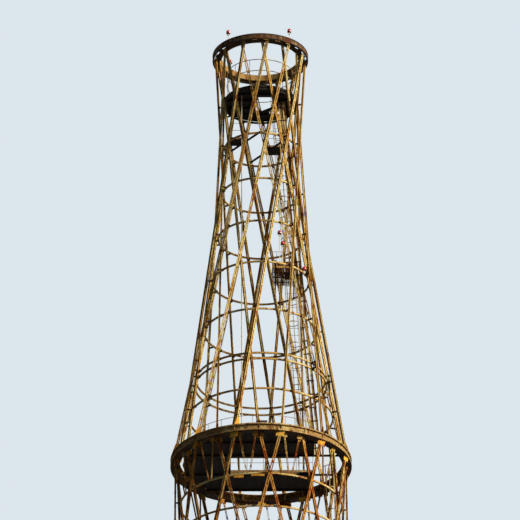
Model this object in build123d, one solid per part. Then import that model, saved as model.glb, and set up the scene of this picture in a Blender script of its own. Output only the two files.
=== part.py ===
from build123d import *

import os
from math import atan2, cos, degrees, hypot, radians, sin, sqrt, tan

# Hyperboloid lattice radio mast, a 1:10 scale model in millimetres.
#
# Six tiers of straight bars stand on one another. Each tier has two families of bars that
# run from ring to ring. One family leans right and lies outside, and the other leans left
# and lies inside. Together they form a hyperboloid. Hoops inside the bars hold them in
# shape, and a ring closes each tier. The mast stands on a ring of concrete blocks.
#
# The origin is at ground level on the mast's axis, and +Z is up. The top tier's ladder and
# tray are on the +X side, and the seen side faces -Y.

FIT = 0.3  # gap left between pieces that bear on each other

# Tiers, from the ground up.
TIER_HEIGHTS = (2436.0, 2500.0, 2500.0, 2500.0, 2500.0, 2500.0)  # ring middle to ring middle
JOINT_RADII = (2015.0, 1620.0, 1270.0, 950.0, 675.0, 463.0, 240.0)  # of the bars at each ring
BARS_PER_FAMILY = (24, 24, 24, 24, 12, 12)
TWISTS = (45.0, 52.5, 60.0, 60.0, 60.0, 86.25)  # degrees that a bar turns about the axis
FIRST_BAR_ANGLE = 6.0
HOOP_LEVELS = (
    (0.33, 0.67),
    (0.33, 0.67),
    (0.33, 0.67),
    (0.25, 0.5, 0.75),
    (0.17, 0.35, 0.52, 0.68, 0.824, 0.9),
    (0.108, 0.185, 0.2, 0.315, 0.438, 0.545, 0.655, 0.77, 0.88),
)
REST_HOOP = 4  # hoops of the top tier that carry the rest platform and the landing
LANDING_HOOP = 7

# Bars and hoops.
BAR_WIDTH = 15.0
BAR_THICKNESS = 11.0
HOOP_WIDTH = 8.0
HOOP_HEIGHT = 9.0

# Rings.
RING_SEGMENTS = 24
RING_HEIGHTS = (36.0, 36.0, 36.0, 36.0, 36.0, 40.0, 34.0)
RING_OVERHANGS = (19.0, 19.0, 19.0, 17.0, 15.0, 12.0, 13.0)  # beyond the bars' outer faces
RING_INSETS = (19.0, 19.0, 19.0, 17.0, 15.0, 12.0, 9.0)  # within the bars' inner faces
RING_PLATE = 3.0
TOP_FLANGE_WIDTH = 11.0
TOP_SEAT_WIDTH = 34.0  # of the plate that the bars' heads meet, from the inner band
TIE_SHARE = 0.55  # of each panel of the top ring that a tie plate covers

# Footing.
FOOTING_HEIGHT = 46.0
FOOTING_MARGIN = 30.0

# Fan braces under the upper ring.
FAN_WIDTH = 8.0
FAN_THICKNESS = 6.0
FAN_TOP_SPREAD = 5.6  # degrees each side of the fan's middle
FAN_FOOT_SPREAD = 1.2

# Decks. A plate is left, right, front and back.
DECK_THICKNESS = 2.5
JOIST_WIDTH = 7.0
JOIST_HEIGHT = 10.0
MAIN_DECK_RADIUS = 424.0
MAIN_HATCH = (-165.0, 205.0, -114.0, 90.0)
MAIN_RIGHT_EDGE = 285.0
MAIN_BACK_EDGE = 330.0
MAIN_JOISTS = (-300.0, -135.0, 112.0, 312.0)
UPPER_DECK_RADIUS = 195.0
UPPER_HATCH = (12.0, 84.0, -38.0, 38.0)
UPPER_JOISTS = (-120.0, -45.0, 45.0, 120.0)
LANDING_TURN = -54.5  # degrees of the landing's beams from +X
LANDING_JOISTS = (-112.0, 54.0)
LANDING_PLATES = ((-172.0, -98.0, -95.0, -15.0), (30.0, 110.0, 0.0, 95.0))
REST_JOISTS = (-182.0, -80.0)
REST_PLATES = ((62.0, 186.0, -150.0, 60.0),)

# Top tier's ladder, tray and conduit. Each leans in as it rises.
LADDER_FOOT_X = 236.0
LADDER_HEAD_X = 97.0
LADDER_Y = 118.0
LADDER_WIDTH = 58.0
LADDER_RAIL = 5.0
RUNG_PITCH = 43.0
RUNG_SIZE = 3.0
TRAY_FOOT = (305.0, -135.0)
TRAY_HEAD = (115.0, -45.0)
TRAY_WIDTH = 38.0
TRAY_THICKNESS = 6.0
CONDUIT_X = -104.0
CONDUIT_WIDTH = 6.0

# Lower tiers' ladders, and the landings on the rings that they stand on.
RING_LANDING_REACH = 200.0  # inwards from the ring
RING_LANDING_WIDTH = 90.0
RING_LANDING_SEAT = 9.0  # of the landing's beams on the ring
LANDING_LADDER_SETBACK = 15.0  # from the landing's edge
LADDER_ABOVE_LANDING = 30.0
TIER_5_LADDER_HEAD_X = 390.0

# Warning lamps.
TOP_LAMPS = ((-133.0, 36.0), (-52.0, 36.0), (130.0, 66.0), (34.0, 58.0))  # angle, post
REST_LAMPS = ((-67.0, 170.0), (-63.0, 108.0))
DECK_LAMPS = ((0.0, 190.0),)
LAMP_POST_WIDTH = 5.0
LAMP_WIDTH = 20.0
LAMP_HEIGHT = 26.0

TIERS = len(TWISTS)
BASE_Z = FOOTING_HEIGHT + FIT + RING_HEIGHTS[0] / 2


def polar(radius, angle, z=0.0):
    """Point at a radius and an angle in degrees."""
    return Vector(radius * cos(radians(angle)), radius * sin(radians(angle)), z)


def ring_z(index):
    """Height of a ring's middle."""
    return BASE_Z + sum(TIER_HEIGHTS[:index])


def ring_top(index):
    return ring_z(index) + RING_HEIGHTS[index] / 2


def ring_bottom(index):
    return ring_z(index) - RING_HEIGHTS[index] / 2


def ring_outer(index):
    return JOINT_RADII[index] + BAR_WIDTH + RING_OVERHANGS[index]


def ring_inner(index):
    return JOINT_RADII[index] - BAR_WIDTH - RING_INSETS[index]


def strut(foot, head, width, thickness, facing):
    """Straight bar cut level at both ends, with its thickness along a facing angle."""
    path = head - foot
    lean = path.Z / path.length
    section = Plane(origin=foot) * Rot(0, 0, facing) * Rectangle(thickness, width / lean)
    return extrude(section, path.length, dir=path.normalized())


def ring_blocks(outer, inner, height, z, turn=0.0, share=1.0):
    """Straight mitred blocks that follow a circle; the radii are those of their flats."""
    half = radians(180 / RING_SEGMENTS)
    outer_half = outer * tan(half) * share - FIT / 2
    inner_half = inner * tan(half) * share - FIT / 2
    outline = Polygon(
        (inner, -inner_half),
        (outer, -outer_half),
        (outer, outer_half),
        (inner, inner_half),
        align=None,
    )
    block = Pos(0, 0, z) * extrude(outline, height)
    return [Rot(0, 0, turn + k * 360 / RING_SEGMENTS) * block for k in range(RING_SEGMENTS)]


class Tier:
    """The lines that one tier's two families of bars follow."""

    def __init__(self, index):
        self.index = index
        self.low = JOINT_RADII[index]
        self.high = JOINT_RADII[index + 1]
        self.height = TIER_HEIGHTS[index]
        self.count = BARS_PER_FAMILY[index]
        self.pitch = 360 / self.count
        self.twist = TWISTS[index]
        self.start = FIRST_BAR_ANGLE + sum(TWISTS[:index])
        self.base = ring_z(index)
        self.path = self.line(1, 1.0) - self.line(1, 0.0)
        self.facing = degrees(atan2(-self.path.X, self.path.Y))  # nearest point to the axis
        self.spread = self.layer_spread()

    def line(self, lean, share, offset=0.0):
        """Point on the first bar's line, at a share of the tier's height."""
        foot = polar(self.low + offset, 0)
        head = polar(self.high + offset, lean * self.twist, self.height)
        return foot + (head - foot) * share

    def angle_at(self, share):
        """Degrees that a bar has turned about the axis at a share of the height."""
        point = self.line(1, share)
        return degrees(atan2(point.Y, point.X))

    def crossing_shares(self):
        """Height shares at which one bar crosses the bars of the other family."""
        rise = self.high * sin(radians(self.twist))
        run = self.low - self.high * cos(radians(self.twist))
        shares = []
        angle = self.pitch / 4
        while angle < self.twist + self.pitch / 4:
            slope = tan(radians(angle))
            share = self.low * slope / (rise + run * slope)
            if 0 <= share <= 1:
                shares.append(share)
            angle += self.pitch / 2
        return shares

    def layer_spread(self):
        """Radial distance between the two families, so that their bars just pass."""
        side = polar(1, self.facing)
        upright = side.cross(self.path.normalized())
        mirror = Vector(self.path.X, -self.path.Y, self.path.Z)
        spread = 0.0
        for share in self.crossing_shares():
            other = mirror.rotate(Axis.Z, 2 * self.angle_at(share))
            normal = self.path.cross(other).normalized()
            depth = abs(normal.dot(side)) * BAR_THICKNESS + abs(normal.dot(upright)) * BAR_WIDTH
            moved = (polar(1 - share, 0) + polar(share, self.twist)).dot(normal)
            spread = max(spread, (depth + FIT) / abs(moved))
        return spread

    def family(self, lean):
        """All the bars that lean one way, 1 for right and -1 for left."""
        offset = lean * self.spread / 2
        foot_z = ring_top(self.index) + FIT
        head_z = ring_bottom(self.index + 1) - FIT
        foot = self.line(lean, (foot_z - self.base) / self.height, offset)
        head = self.line(lean, (head_z - self.base) / self.height, offset)
        lift = Vector(0, 0, self.base)
        bar = strut(foot + lift, head + lift, BAR_WIDTH, BAR_THICKNESS, lean * self.facing)
        turn = self.start + (0 if lean > 0 else self.pitch / 2)
        return [Rot(0, 0, turn + k * self.pitch) * bar for k in range(self.count)]

    def hoop_radius(self, share):
        """Outer flat of a hoop that lies inside the left-leaning bars."""
        angle = self.angle_at(share)
        outward = polar(1, angle)
        across = abs(outward.dot(polar(1, self.facing))) * BAR_THICKNESS
        lean = self.path.Z / self.path.length
        along = abs(outward.dot(polar(1, self.facing + 90))) * BAR_WIDTH / lean
        half = HOOP_HEIGHT / 2 / self.height
        nearest = min(
            self.line(1, share + side * half, -self.spread / 2).dot(outward) for side in (-1, 1)
        )
        return nearest - (across + along) / 2 - FIT

    def hoop_bearing(self, share):
        """Radius of the middle of a hoop's width."""
        return self.hoop_radius(share) - HOOP_WIDTH / 2

    def hoop_top(self, share):
        return self.base + share * self.height + HOOP_HEIGHT / 2

    def hoop(self, share):
        outer = self.hoop_radius(share)
        z = self.hoop_top(share) - HOOP_HEIGHT
        turn = self.start + self.pitch / 2 - self.angle_at(share)
        return ring_blocks(outer, outer - HOOP_WIDTH, HOOP_HEIGHT, z, turn)

    def hoops(self):
        return [block for share in HOOP_LEVELS[self.index] for block in self.hoop(share)]


def box_ring(index):
    """Ring of closed box blocks."""
    return ring_blocks(
        ring_outer(index), ring_inner(index), RING_HEIGHTS[index], ring_bottom(index)
    )


def flanges(index, inner):
    """Upper and lower plates of a channel ring."""
    low = ring_blocks(ring_outer(index), inner, RING_PLATE, ring_bottom(index))
    high = ring_blocks(ring_outer(index), inner, RING_PLATE, ring_top(index) - RING_PLATE)
    return low + high


def web(index):
    """Upright plates between a channel ring's flanges."""
    outer = ring_outer(index)
    height = RING_HEIGHTS[index] - 2 * RING_PLATE - 2 * FIT
    z = ring_bottom(index) + RING_PLATE + FIT
    return ring_blocks(outer, outer - RING_PLATE, height, z)


def top_ring_band():
    """Upright plates round the inside of the top ring, and the flat plates the bars meet."""
    inner = ring_inner(TIERS)
    z = ring_bottom(TIERS)
    band = ring_blocks(inner + RING_PLATE, inner, RING_HEIGHTS[TIERS], z)
    seat = inner + RING_PLATE + FIT
    return band + ring_blocks(inner + TOP_SEAT_WIDTH, seat, RING_PLATE, z)


def top_ring_ties():
    """Plates that tie the top ring's channel to its seat plates, with gaps between them."""
    outer = ring_outer(TIERS) - TOP_FLANGE_WIDTH - FIT
    inner = ring_inner(TIERS) + TOP_SEAT_WIDTH + FIT
    return ring_blocks(outer, inner, RING_PLATE, ring_bottom(TIERS), share=TIE_SHARE)


def footing():
    outer = ring_outer(0) + FOOTING_MARGIN
    return ring_blocks(outer, ring_inner(0) - FOOTING_MARGIN, FOOTING_HEIGHT, 0)


def fan_braces(tier):
    """Pairs of short bars from the ring's underside to the hoop below it."""
    share = HOOP_LEVELS[tier.index][-1]
    foot_z = tier.hoop_top(share) + FIT
    head_z = ring_bottom(tier.index + 1) - FIT
    middle = tier.start + tier.twist + tier.pitch / 4
    braces = []
    for k in range(tier.count):
        for side in (-1, 1):
            angle = middle + k * tier.pitch
            foot = polar(tier.hoop_bearing(share), angle + side * FAN_FOOT_SPREAD, foot_z)
            head = polar(tier.high, angle + side * FAN_TOP_SPREAD, head_z)
            braces.append(strut(foot, head, FAN_WIDTH, FAN_THICKNESS, angle))
    return braces


def plates(radius, rectangles, z):
    """Deck plates: rectangles trimmed to a round edge."""
    disc = RegularPolygon(radius, RING_SEGMENTS)
    pieces = []
    for left, right, front, back in rectangles:
        middle = Pos((left + right) / 2, (front + back) / 2)
        outline = disc & middle * Rectangle(right - left - FIT, back - front - FIT)
        pieces.append(Pos(0, 0, z) * extrude(outline, DECK_THICKNESS))
    return pieces


def joists(reach, offsets, z, turn=0.0):
    """Parallel beams whose outer corners lie at a reach from the axis."""
    beams = []
    for offset in offsets:
        length = 2 * sqrt(reach**2 - (abs(offset) + JOIST_WIDTH / 2) ** 2)
        beam = Box(length, JOIST_WIDTH, JOIST_HEIGHT)
        beams.append(Rot(0, 0, turn) * Pos(0, offset, z + JOIST_HEIGHT / 2) * beam)
    return beams


def around_hatch(radius, hatch, right_edge, back_edge):
    """Rectangles of deck round a hatch: front, left, back and right."""
    left, right, front, back = hatch
    return (
        (-radius, right_edge, -radius, front),
        (-radius, left, front, back),
        (-radius, right_edge, back, back_edge),
        (right, right_edge, front, back),
    )


def ladder_place(share):
    """Middle of the ladder at a share of its rise."""
    return LADDER_FOOT_X + (LADDER_HEAD_X - LADDER_FOOT_X) * share


def ladder_rails(low, high):
    rails = []
    for side in (-1, 1):
        shift = side * LADDER_WIDTH / 2
        foot = Vector(ladder_place(0) + shift, LADDER_Y, low)
        head = Vector(ladder_place(1) + shift, LADDER_Y, high)
        rails.append(strut(foot, head, LADDER_RAIL, LADDER_RAIL, 90))
    return rails


def ladder_rungs(low, high):
    lean = (high - low) / hypot(high - low, LADDER_HEAD_X - LADDER_FOOT_X)
    reach = RUNG_SIZE * abs(LADDER_HEAD_X - LADDER_FOOT_X) / (high - low)
    length = LADDER_WIDTH - LADDER_RAIL / lean - reach - 2 * FIT
    rungs = []
    for k in range(int((high - low) / RUNG_PITCH)):
        rise = (k + 0.5) * RUNG_PITCH
        x = ladder_place(rise / (high - low))
        rungs.append(Pos(x, LADDER_Y, low + rise) * Box(length, RUNG_SIZE, RUNG_SIZE))
    return rungs


def landing_edge(index):
    """Inner edge of the landing on a ring."""
    return ring_inner(index) - RING_LANDING_REACH


def landing_top(index):
    return ring_top(index) + JOIST_HEIGHT + DECK_THICKNESS + 2 * FIT


def ring_landing_beams(index):
    outer = ring_inner(index) + RING_LANDING_SEAT
    length = outer - landing_edge(index)
    beam = Box(length, JOIST_WIDTH, JOIST_HEIGHT)
    y = (RING_LANDING_WIDTH - JOIST_WIDTH) / 2
    z = ring_top(index) + FIT + JOIST_HEIGHT / 2
    return [Pos(outer - length / 2, side * y, z) * beam for side in (-1, 1)]


def ring_landing_plate(index):
    place = Pos(ring_inner(index) - RING_LANDING_REACH / 2, 0, landing_top(index))
    outline = Rectangle(RING_LANDING_REACH, RING_LANDING_WIDTH)
    return place * extrude(outline, -DECK_THICKNESS)


def tier_ladder(tier):
    """Ladder rails from the ground or a landing, just past the next landing's edge."""
    lower, upper = tier.index, tier.index + 1
    foot_x = landing_edge(lower) + LANDING_LADDER_SETBACK
    foot_z = landing_top(lower) + FIT if lower else 0.0
    pass_x = landing_edge(upper) - LADDER_RAIL / 2 - FIT
    if upper == TIERS - 1:
        pass_x = TIER_5_LADDER_HEAD_X
    pass_z = landing_top(upper) - DECK_THICKNESS
    rails = []
    for side in (-1, 1):
        y = side * LADDER_WIDTH / 2
        foot = Vector(foot_x, y, foot_z)
        along = (Vector(pass_x, y, pass_z) - foot) / (pass_z - foot_z)
        head = foot + along * (landing_top(upper) + LADDER_ABOVE_LANDING - foot_z)
        rails.append(strut(foot, head, LADDER_RAIL, LADDER_RAIL, 90))
    return rails


def posts(places, radius, z):
    """Lamp posts at given angles and heights."""
    solids = []
    for angle, height in places:
        foot = polar(radius, angle, z + FIT + height / 2)
        post = Box(LAMP_POST_WIDTH, LAMP_POST_WIDTH, height)
        solids.append(Pos(*foot) * Rot(0, 0, angle) * post)
    return solids


def lamps(places, radius, z):
    """Lamps on top of their posts."""
    solids = []
    for angle, height in places:
        foot = polar(radius, angle, z + height + 2 * FIT)
        solids.append(Pos(*foot) * extrude(RegularPolygon(LAMP_WIDTH / 2, 8), LAMP_HEIGHT))
    return solids


def export(name, solids):
    """Write one node."""
    children = [Solid(piece.solid().wrapped) for piece in solids]
    export_step(Compound(children=children), f"parts/{name}.step")


def export_lattice(tiers):
    for tier in tiers:
        name = f"tier_{tier.index + 1}"
        export(f"{name}_right_bars", tier.family(1))
        export(f"{name}_left_bars", tier.family(-1))
        export(f"{name}_hoops", tier.hoops())
    export("fan_braces", fan_braces(tiers[-2]))


def export_rings():
    export("footing", footing())
    export("base_ring", box_ring(0))
    for index in range(1, TIERS - 1):
        export(f"ring_{index}", box_ring(index))
    export("ring_5_flanges", flanges(TIERS - 1, ring_inner(TIERS - 1)))
    export("ring_5_web", web(TIERS - 1))
    export("top_ring_flanges", flanges(TIERS, ring_outer(TIERS) - TOP_FLANGE_WIDTH))
    export("top_ring_web", web(TIERS))
    export("top_ring_band", top_ring_band())
    export("top_ring_ties", top_ring_ties())


def export_top_tier(tier):
    joist_z = ring_bottom(tier.index) + RING_PLATE + FIT
    deck_z = joist_z + JOIST_HEIGHT + FIT
    reach = ring_outer(tier.index) - RING_PLATE - FIT
    export("main_joists", joists(reach, MAIN_JOISTS, joist_z))
    rectangles = around_hatch(MAIN_DECK_RADIUS, MAIN_HATCH, MAIN_RIGHT_EDGE, MAIN_BACK_EDGE)
    export("main_deck", plates(MAIN_DECK_RADIUS, rectangles[:3], deck_z))

    share = HOOP_LEVELS[tier.index][REST_HOOP]
    z = tier.hoop_top(share) + FIT
    rest_reach = tier.hoop_bearing(share)
    export("rest_joists", joists(rest_reach, REST_JOISTS, z, turn=90))
    export("rest_deck", plates(rest_reach, REST_PLATES, z + JOIST_HEIGHT + FIT))

    share = HOOP_LEVELS[tier.index][LANDING_HOOP]
    z = tier.hoop_top(share) + FIT
    landing_reach = tier.hoop_bearing(share)
    export("landing_joists", joists(landing_reach, LANDING_JOISTS, z, turn=LANDING_TURN))
    export("landing_deck", plates(landing_reach, LANDING_PLATES, z + JOIST_HEIGHT + FIT))

    share = HOOP_LEVELS[tier.index][-1]
    z = tier.hoop_top(share) + FIT
    upper_reach = tier.hoop_bearing(share)
    radius = UPPER_DECK_RADIUS
    rectangles = around_hatch(radius, UPPER_HATCH, radius, radius)
    export("upper_joists", joists(upper_reach, UPPER_JOISTS, z))
    export("upper_deck", plates(radius, rectangles, z + JOIST_HEIGHT + FIT))

    low = deck_z + DECK_THICKNESS + FIT
    high = z - FIT
    export("ladder_rails", ladder_rails(low, high))
    export("ladder_rungs", ladder_rungs(low, high))
    foot = Vector(*TRAY_FOOT, joist_z + JOIST_HEIGHT + FIT)
    head = Vector(*TRAY_HEAD, high)
    export("cable_tray", [strut(foot, head, TRAY_WIDTH, TRAY_THICKNESS, 90)])
    conduit = Pos(CONDUIT_X, UPPER_JOISTS[0], low) * extrude(
        RegularPolygon(CONDUIT_WIDTH / 2, 8), high - low
    )
    export("conduit", [conduit])


def export_lower_ladders(tiers):
    indices = range(1, len(tiers))
    export("tier_ladder_rails", [rail for tier in tiers for rail in tier_ladder(tier)])
    export("ring_landing_beams", [beam for k in indices for beam in ring_landing_beams(k)])
    export("ring_landing_plates", [ring_landing_plate(k) for k in indices])


def export_lamps(tier):
    top = (ring_outer(TIERS) - TOP_FLANGE_WIDTH / 2, ring_top(TIERS))
    share = HOOP_LEVELS[tier.index][REST_HOOP]
    rest = (tier.hoop_bearing(share), tier.hoop_top(share))
    share = HOOP_LEVELS[tier.index][-1]
    deck = (tier.hoop_bearing(share), tier.hoop_top(share))
    sets = ((TOP_LAMPS, top), (REST_LAMPS, rest), (DECK_LAMPS, deck))
    export("lamp_posts", [solid for places, seat in sets for solid in posts(places, *seat)])
    export("lamps", [solid for places, seat in sets for solid in lamps(places, *seat)])


def main():
    os.makedirs("parts", exist_ok=True)
    tiers = [Tier(index) for index in range(TIERS)]
    export_lattice(tiers)
    export_rings()
    export_top_tier(tiers[-1])
    export_lower_ladders(tiers[:-1])
    export_lamps(tiers[-1])


main()
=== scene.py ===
import math
import bmesh
import bpy
from bmesh.types import BMEdge, BMVert
from mathutils import Matrix, Vector


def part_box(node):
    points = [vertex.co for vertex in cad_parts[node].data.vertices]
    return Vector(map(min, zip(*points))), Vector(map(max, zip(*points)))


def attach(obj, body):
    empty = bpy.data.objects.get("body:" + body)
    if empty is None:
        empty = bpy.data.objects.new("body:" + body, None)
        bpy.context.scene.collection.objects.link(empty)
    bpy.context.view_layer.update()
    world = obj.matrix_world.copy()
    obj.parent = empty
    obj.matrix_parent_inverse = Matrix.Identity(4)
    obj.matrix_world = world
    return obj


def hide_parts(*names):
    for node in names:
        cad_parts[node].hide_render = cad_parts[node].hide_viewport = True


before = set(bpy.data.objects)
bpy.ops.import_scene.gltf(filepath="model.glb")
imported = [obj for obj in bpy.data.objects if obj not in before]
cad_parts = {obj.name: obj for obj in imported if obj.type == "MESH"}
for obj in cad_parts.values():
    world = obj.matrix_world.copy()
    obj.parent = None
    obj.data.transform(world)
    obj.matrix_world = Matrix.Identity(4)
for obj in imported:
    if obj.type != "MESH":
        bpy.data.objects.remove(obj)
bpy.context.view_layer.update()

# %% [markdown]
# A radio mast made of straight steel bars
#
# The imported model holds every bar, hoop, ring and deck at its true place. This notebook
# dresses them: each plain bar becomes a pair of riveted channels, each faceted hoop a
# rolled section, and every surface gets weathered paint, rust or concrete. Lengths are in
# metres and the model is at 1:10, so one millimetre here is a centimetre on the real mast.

MM = 0.001
UP = Vector((0, 0, 1))
FULL_TURN = 2 * math.pi
JOIN = 0.00002


def polar(radius, angle, z=0.0):
    return Vector((radius * math.cos(angle), radius * math.sin(angle), z))


def bearing(point):
    return math.atan2(point.y, point.x)


def whole(bm):
    return bm.verts[:] + bm.edges[:] + bm.faces[:]


def of_kind(items, kind):
    return [item for item in items if isinstance(item, kind)]


# %% [markdown]
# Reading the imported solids
#
# A node's mesh is a bag of loose triangles. Merging the doubles of a copy joins them into
# closed solids, and walking over linked vertices then finds one bar or block at a time.
# Each bar is a prism cut level at both ends, so its four lowest and four highest corners
# give its foot, its head and its width.

# %% Split a node into its solids
def solids_of(node):
    bm = bmesh.new()
    bm.from_mesh(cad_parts[node].data)
    bmesh.ops.remove_doubles(bm, verts=bm.verts, dist=JOIN)
    seen, solids = set(), []
    for start in bm.verts:
        if start in seen:
            continue
        seen.add(start)
        group, queue = [], [start]
        while queue:
            vert = queue.pop()
            group.append(vert.co.copy())
            for edge in vert.link_edges:
                other = edge.other_vert(vert)
                if other not in seen:
                    seen.add(other)
                    queue.append(other)
        solids.append(group)
    bm.free()
    return solids


def middle(points):
    return sum(points, Vector()) / len(points)


class Bar:
    """Place and size of one straight solid, read from its corners."""

    def __init__(self, corners):
        corners = sorted(corners, key=lambda p: p.z)
        self.low, self.high = corners[:4], corners[-4:]
        self.foot, self.head = middle(self.low), middle(self.high)
        self.length = (self.head - self.foot).length
        self.axis = (self.head - self.foot).normalized()
        sides = sorted((p - self.low[0] for p in self.low[1:]), key=lambda v: v.length)
        self.out = sides[0].normalized()
        if self.out.dot(Vector((self.foot.x, self.foot.y, 0))) < 0:
            self.out.negate()
        self.depth = sides[0].length
        self.width = sides[1].length * self.axis.z
        self.across = self.out.cross(self.axis)

    def matrix(self):
        """Frame with X across the bar, Y outwards and Z along it from the foot."""
        turn = Matrix((self.across, self.out, self.axis)).transposed().to_4x4()
        return Matrix.Translation(self.foot) @ turn


print("nodes in the frame:", len(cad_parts))

# %% [markdown]
# Putting a finished mesh into the scene
#
# Every piece ends the same way: its faces are turned outwards, it becomes an object at the
# origin, it rides on the mast's one body, and the imported nodes that it stands for are hidden.

# %% Finish a piece
def finish_piece(name, bm, material, nodes=(), smooth=False):
    bmesh.ops.recalc_face_normals(bm, faces=bm.faces)
    mesh = bpy.data.meshes.new(name)
    bm.to_mesh(mesh)
    bm.free()
    for face in mesh.polygons:
        face.use_smooth = smooth
    mesh.materials.append(material)
    piece = bpy.data.objects.new(name, mesh)
    bpy.context.scene.collection.objects.link(piece)
    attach(piece, "root")
    if nodes:
        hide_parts(*nodes)
    print(f"{name}: {len(mesh.polygons)} faces, {len(mesh.vertices)} vertices")


def add_part(bm, part):
    """Moves a mesh that was built on its own into a larger one."""
    mesh = bpy.data.meshes.new("part")
    part.to_mesh(mesh)
    part.free()
    bm.from_mesh(mesh)
    bpy.data.meshes.remove(mesh)


def add_box(bm, size, place, turn=None):
    """Box of a given size, centred at a place and turned by a 4x4 matrix."""
    spot = Matrix.Translation(place) @ (turn or Matrix())
    return bmesh.ops.create_cube(bm, size=1, matrix=spot @ Matrix.Diagonal((*size, 1)))["verts"]


def add_block(bm, size, radius, angle, z):
    """Box measured outwards, sideways and upwards, at a radius, a bearing and a height."""
    place = Matrix.Rotation(angle, 4, "Z") @ Matrix.Translation((radius, 0, z))
    return bmesh.ops.create_cube(bm, size=1, matrix=place @ Matrix.Diagonal((*size, 1)))["verts"]


def add_rod(bm, foot, head, radius, sides=6):
    """Round bar from one point to another."""
    axis = head - foot
    turn = axis.to_track_quat("Z", "Y").to_matrix().to_4x4()
    place = Matrix.Translation((foot + head) / 2) @ turn
    bmesh.ops.create_cone(
        bm, cap_ends=True, segments=sides, radius1=radius, radius2=radius,
        depth=axis.length, matrix=place,
    )


def add_strip(bm, foot, head, width, thick, out):
    """Flat bar from one point to another, with its thickness along a given direction."""
    axis = (head - foot).normalized()
    across = out.cross(axis).normalized()
    turn = Matrix((across, axis.cross(across), axis)).transposed().to_4x4()
    add_box(bm, (width, thick, (head - foot).length), (foot + head) / 2, turn)


def copies_round(bm, count):
    """Repeats everything in the mesh at equal turns about the mast's axis."""
    first = whole(bm)
    for k in range(1, count):
        made = bmesh.ops.duplicate(bm, geom=first)["geom"]
        turn = Matrix.Rotation(FULL_TURN * k / count, 3, "Z")
        bmesh.ops.rotate(bm, verts=of_kind(made, BMVert), cent=(0, 0, 0), matrix=turn)


# %% [markdown]
# Colours and nodes
#
# Colours are written as the hex values that a paint chart would show, and one function
# turns them into the linear values that the shader expects. A second one adds a shader
# node with its settings and links.

# %% Colour and node helpers
def colour(hex_value):
    values = [int(hex_value[k : k + 2], 16) / 255 for k in (1, 3, 5)]
    linear = [v / 12.92 if v <= 0.04045 else ((v + 0.055) / 1.055) ** 2.4 for v in values]
    return (*linear, 1.0)


def add_node(tree, kind, links=None, values=None, **settings):
    node = tree.nodes.new(kind)
    for key, value in settings.items():
        setattr(node, key, value)
    for key, value in (values or {}).items():
        node.inputs[key].default_value = value
    for key, socket in (links or {}).items():
        tree.links.new(socket, node.inputs[key])
    return node


def new_material(name):
    material = bpy.data.materials.new(name)
    material.use_nodes = True
    tree = material.node_tree
    shader = tree.nodes["Principled BSDF"]
    place = add_node(tree, "ShaderNodeTexCoord").outputs["Object"]
    return material, tree, shader, place


print("cream paint in linear light:", [round(v, 3) for v in colour("#E3CB85")])

# %% [markdown]
# Weathered oil paint over riveted steel
#
# The mast is brushed with cream oil paint that has chalked, yellowed and let rust through.
# Three noises at real sizes make it: patches of 700 mm where the coat has turned ochre,
# flakes of 150 mm where rust shows, and specks of 40 mm. Real specks are finer, but would
# be too fine to show. Rain draws the stains down the steel, so the first two are stretched
# along Z. Paint is not a metal: its IOR stays at 1.5. It has chalked to a matt skin that
# mirrors little, and rust makes it rougher still.

# %% Weathered paint
def noise_scale(real_size):
    """Scale of a noise whose features have a real size in mm, on the 1:10 model."""
    return 1 / (real_size * MM / 10) / 2


def weathered_paint(name, fresh, aged, rust, dark, aged_share=0.45, rust_share=0.3):
    material, tree, shader, place = new_material(name)
    masks = []
    for size, detail, stretch, low, high in (
        (700, 3, 3, 0.62 - aged_share / 3, 0.70 - aged_share / 3),
        (150, 6, 2.5, 0.66 - rust_share / 3, 0.74 - rust_share / 3),
        (40, 4, 1, 0.56, 0.66),
    ):
        drawn = {"Scale": (1, 1, 1 / stretch)}
        runs = add_node(tree, "ShaderNodeMapping", {"Vector": place}, drawn)
        grain = {"Scale": noise_scale(size), "Detail": detail, "Roughness": 0.6}
        noise = add_node(tree, "ShaderNodeTexNoise", {"Vector": runs.outputs[0]}, grain)
        reach = {"From Min": low, "From Max": high}
        mask = add_node(tree, "ShaderNodeMapRange", {"Value": noise.outputs[0]}, reach)
        masks.append(mask.outputs["Result"])
    patches, flakes, specks = masks
    both = {6: colour(fresh), 7: colour(aged)}
    coat = add_node(tree, "ShaderNodeMix", {0: patches}, both, data_type="RGBA").outputs[2]
    over = {0: flakes, 6: coat}
    rusty = add_node(tree, "ShaderNodeMix", over, {7: colour(rust)}, data_type="RGBA").outputs[2]
    over = {0: specks, 6: rusty}
    final = add_node(tree, "ShaderNodeMix", over, {7: colour(dark)}, data_type="RGBA").outputs[2]
    tree.links.new(final, shader.inputs["Base Color"])
    reach = {"From Min": -5.0, "From Max": 1.2}
    rough = add_node(tree, "ShaderNodeMapRange", {"Value": flakes}, reach)
    tree.links.new(rough.outputs["Result"], shader.inputs["Roughness"])
    shader.inputs["Specular IOR Level"].default_value = 0.15
    depth = {"Strength": 0.4, "Distance": 0.4 * MM}
    bump = add_node(tree, "ShaderNodeBump", {"Height": flakes}, depth)
    tree.links.new(bump.outputs[0], shader.inputs["Normal"])
    return material


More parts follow.
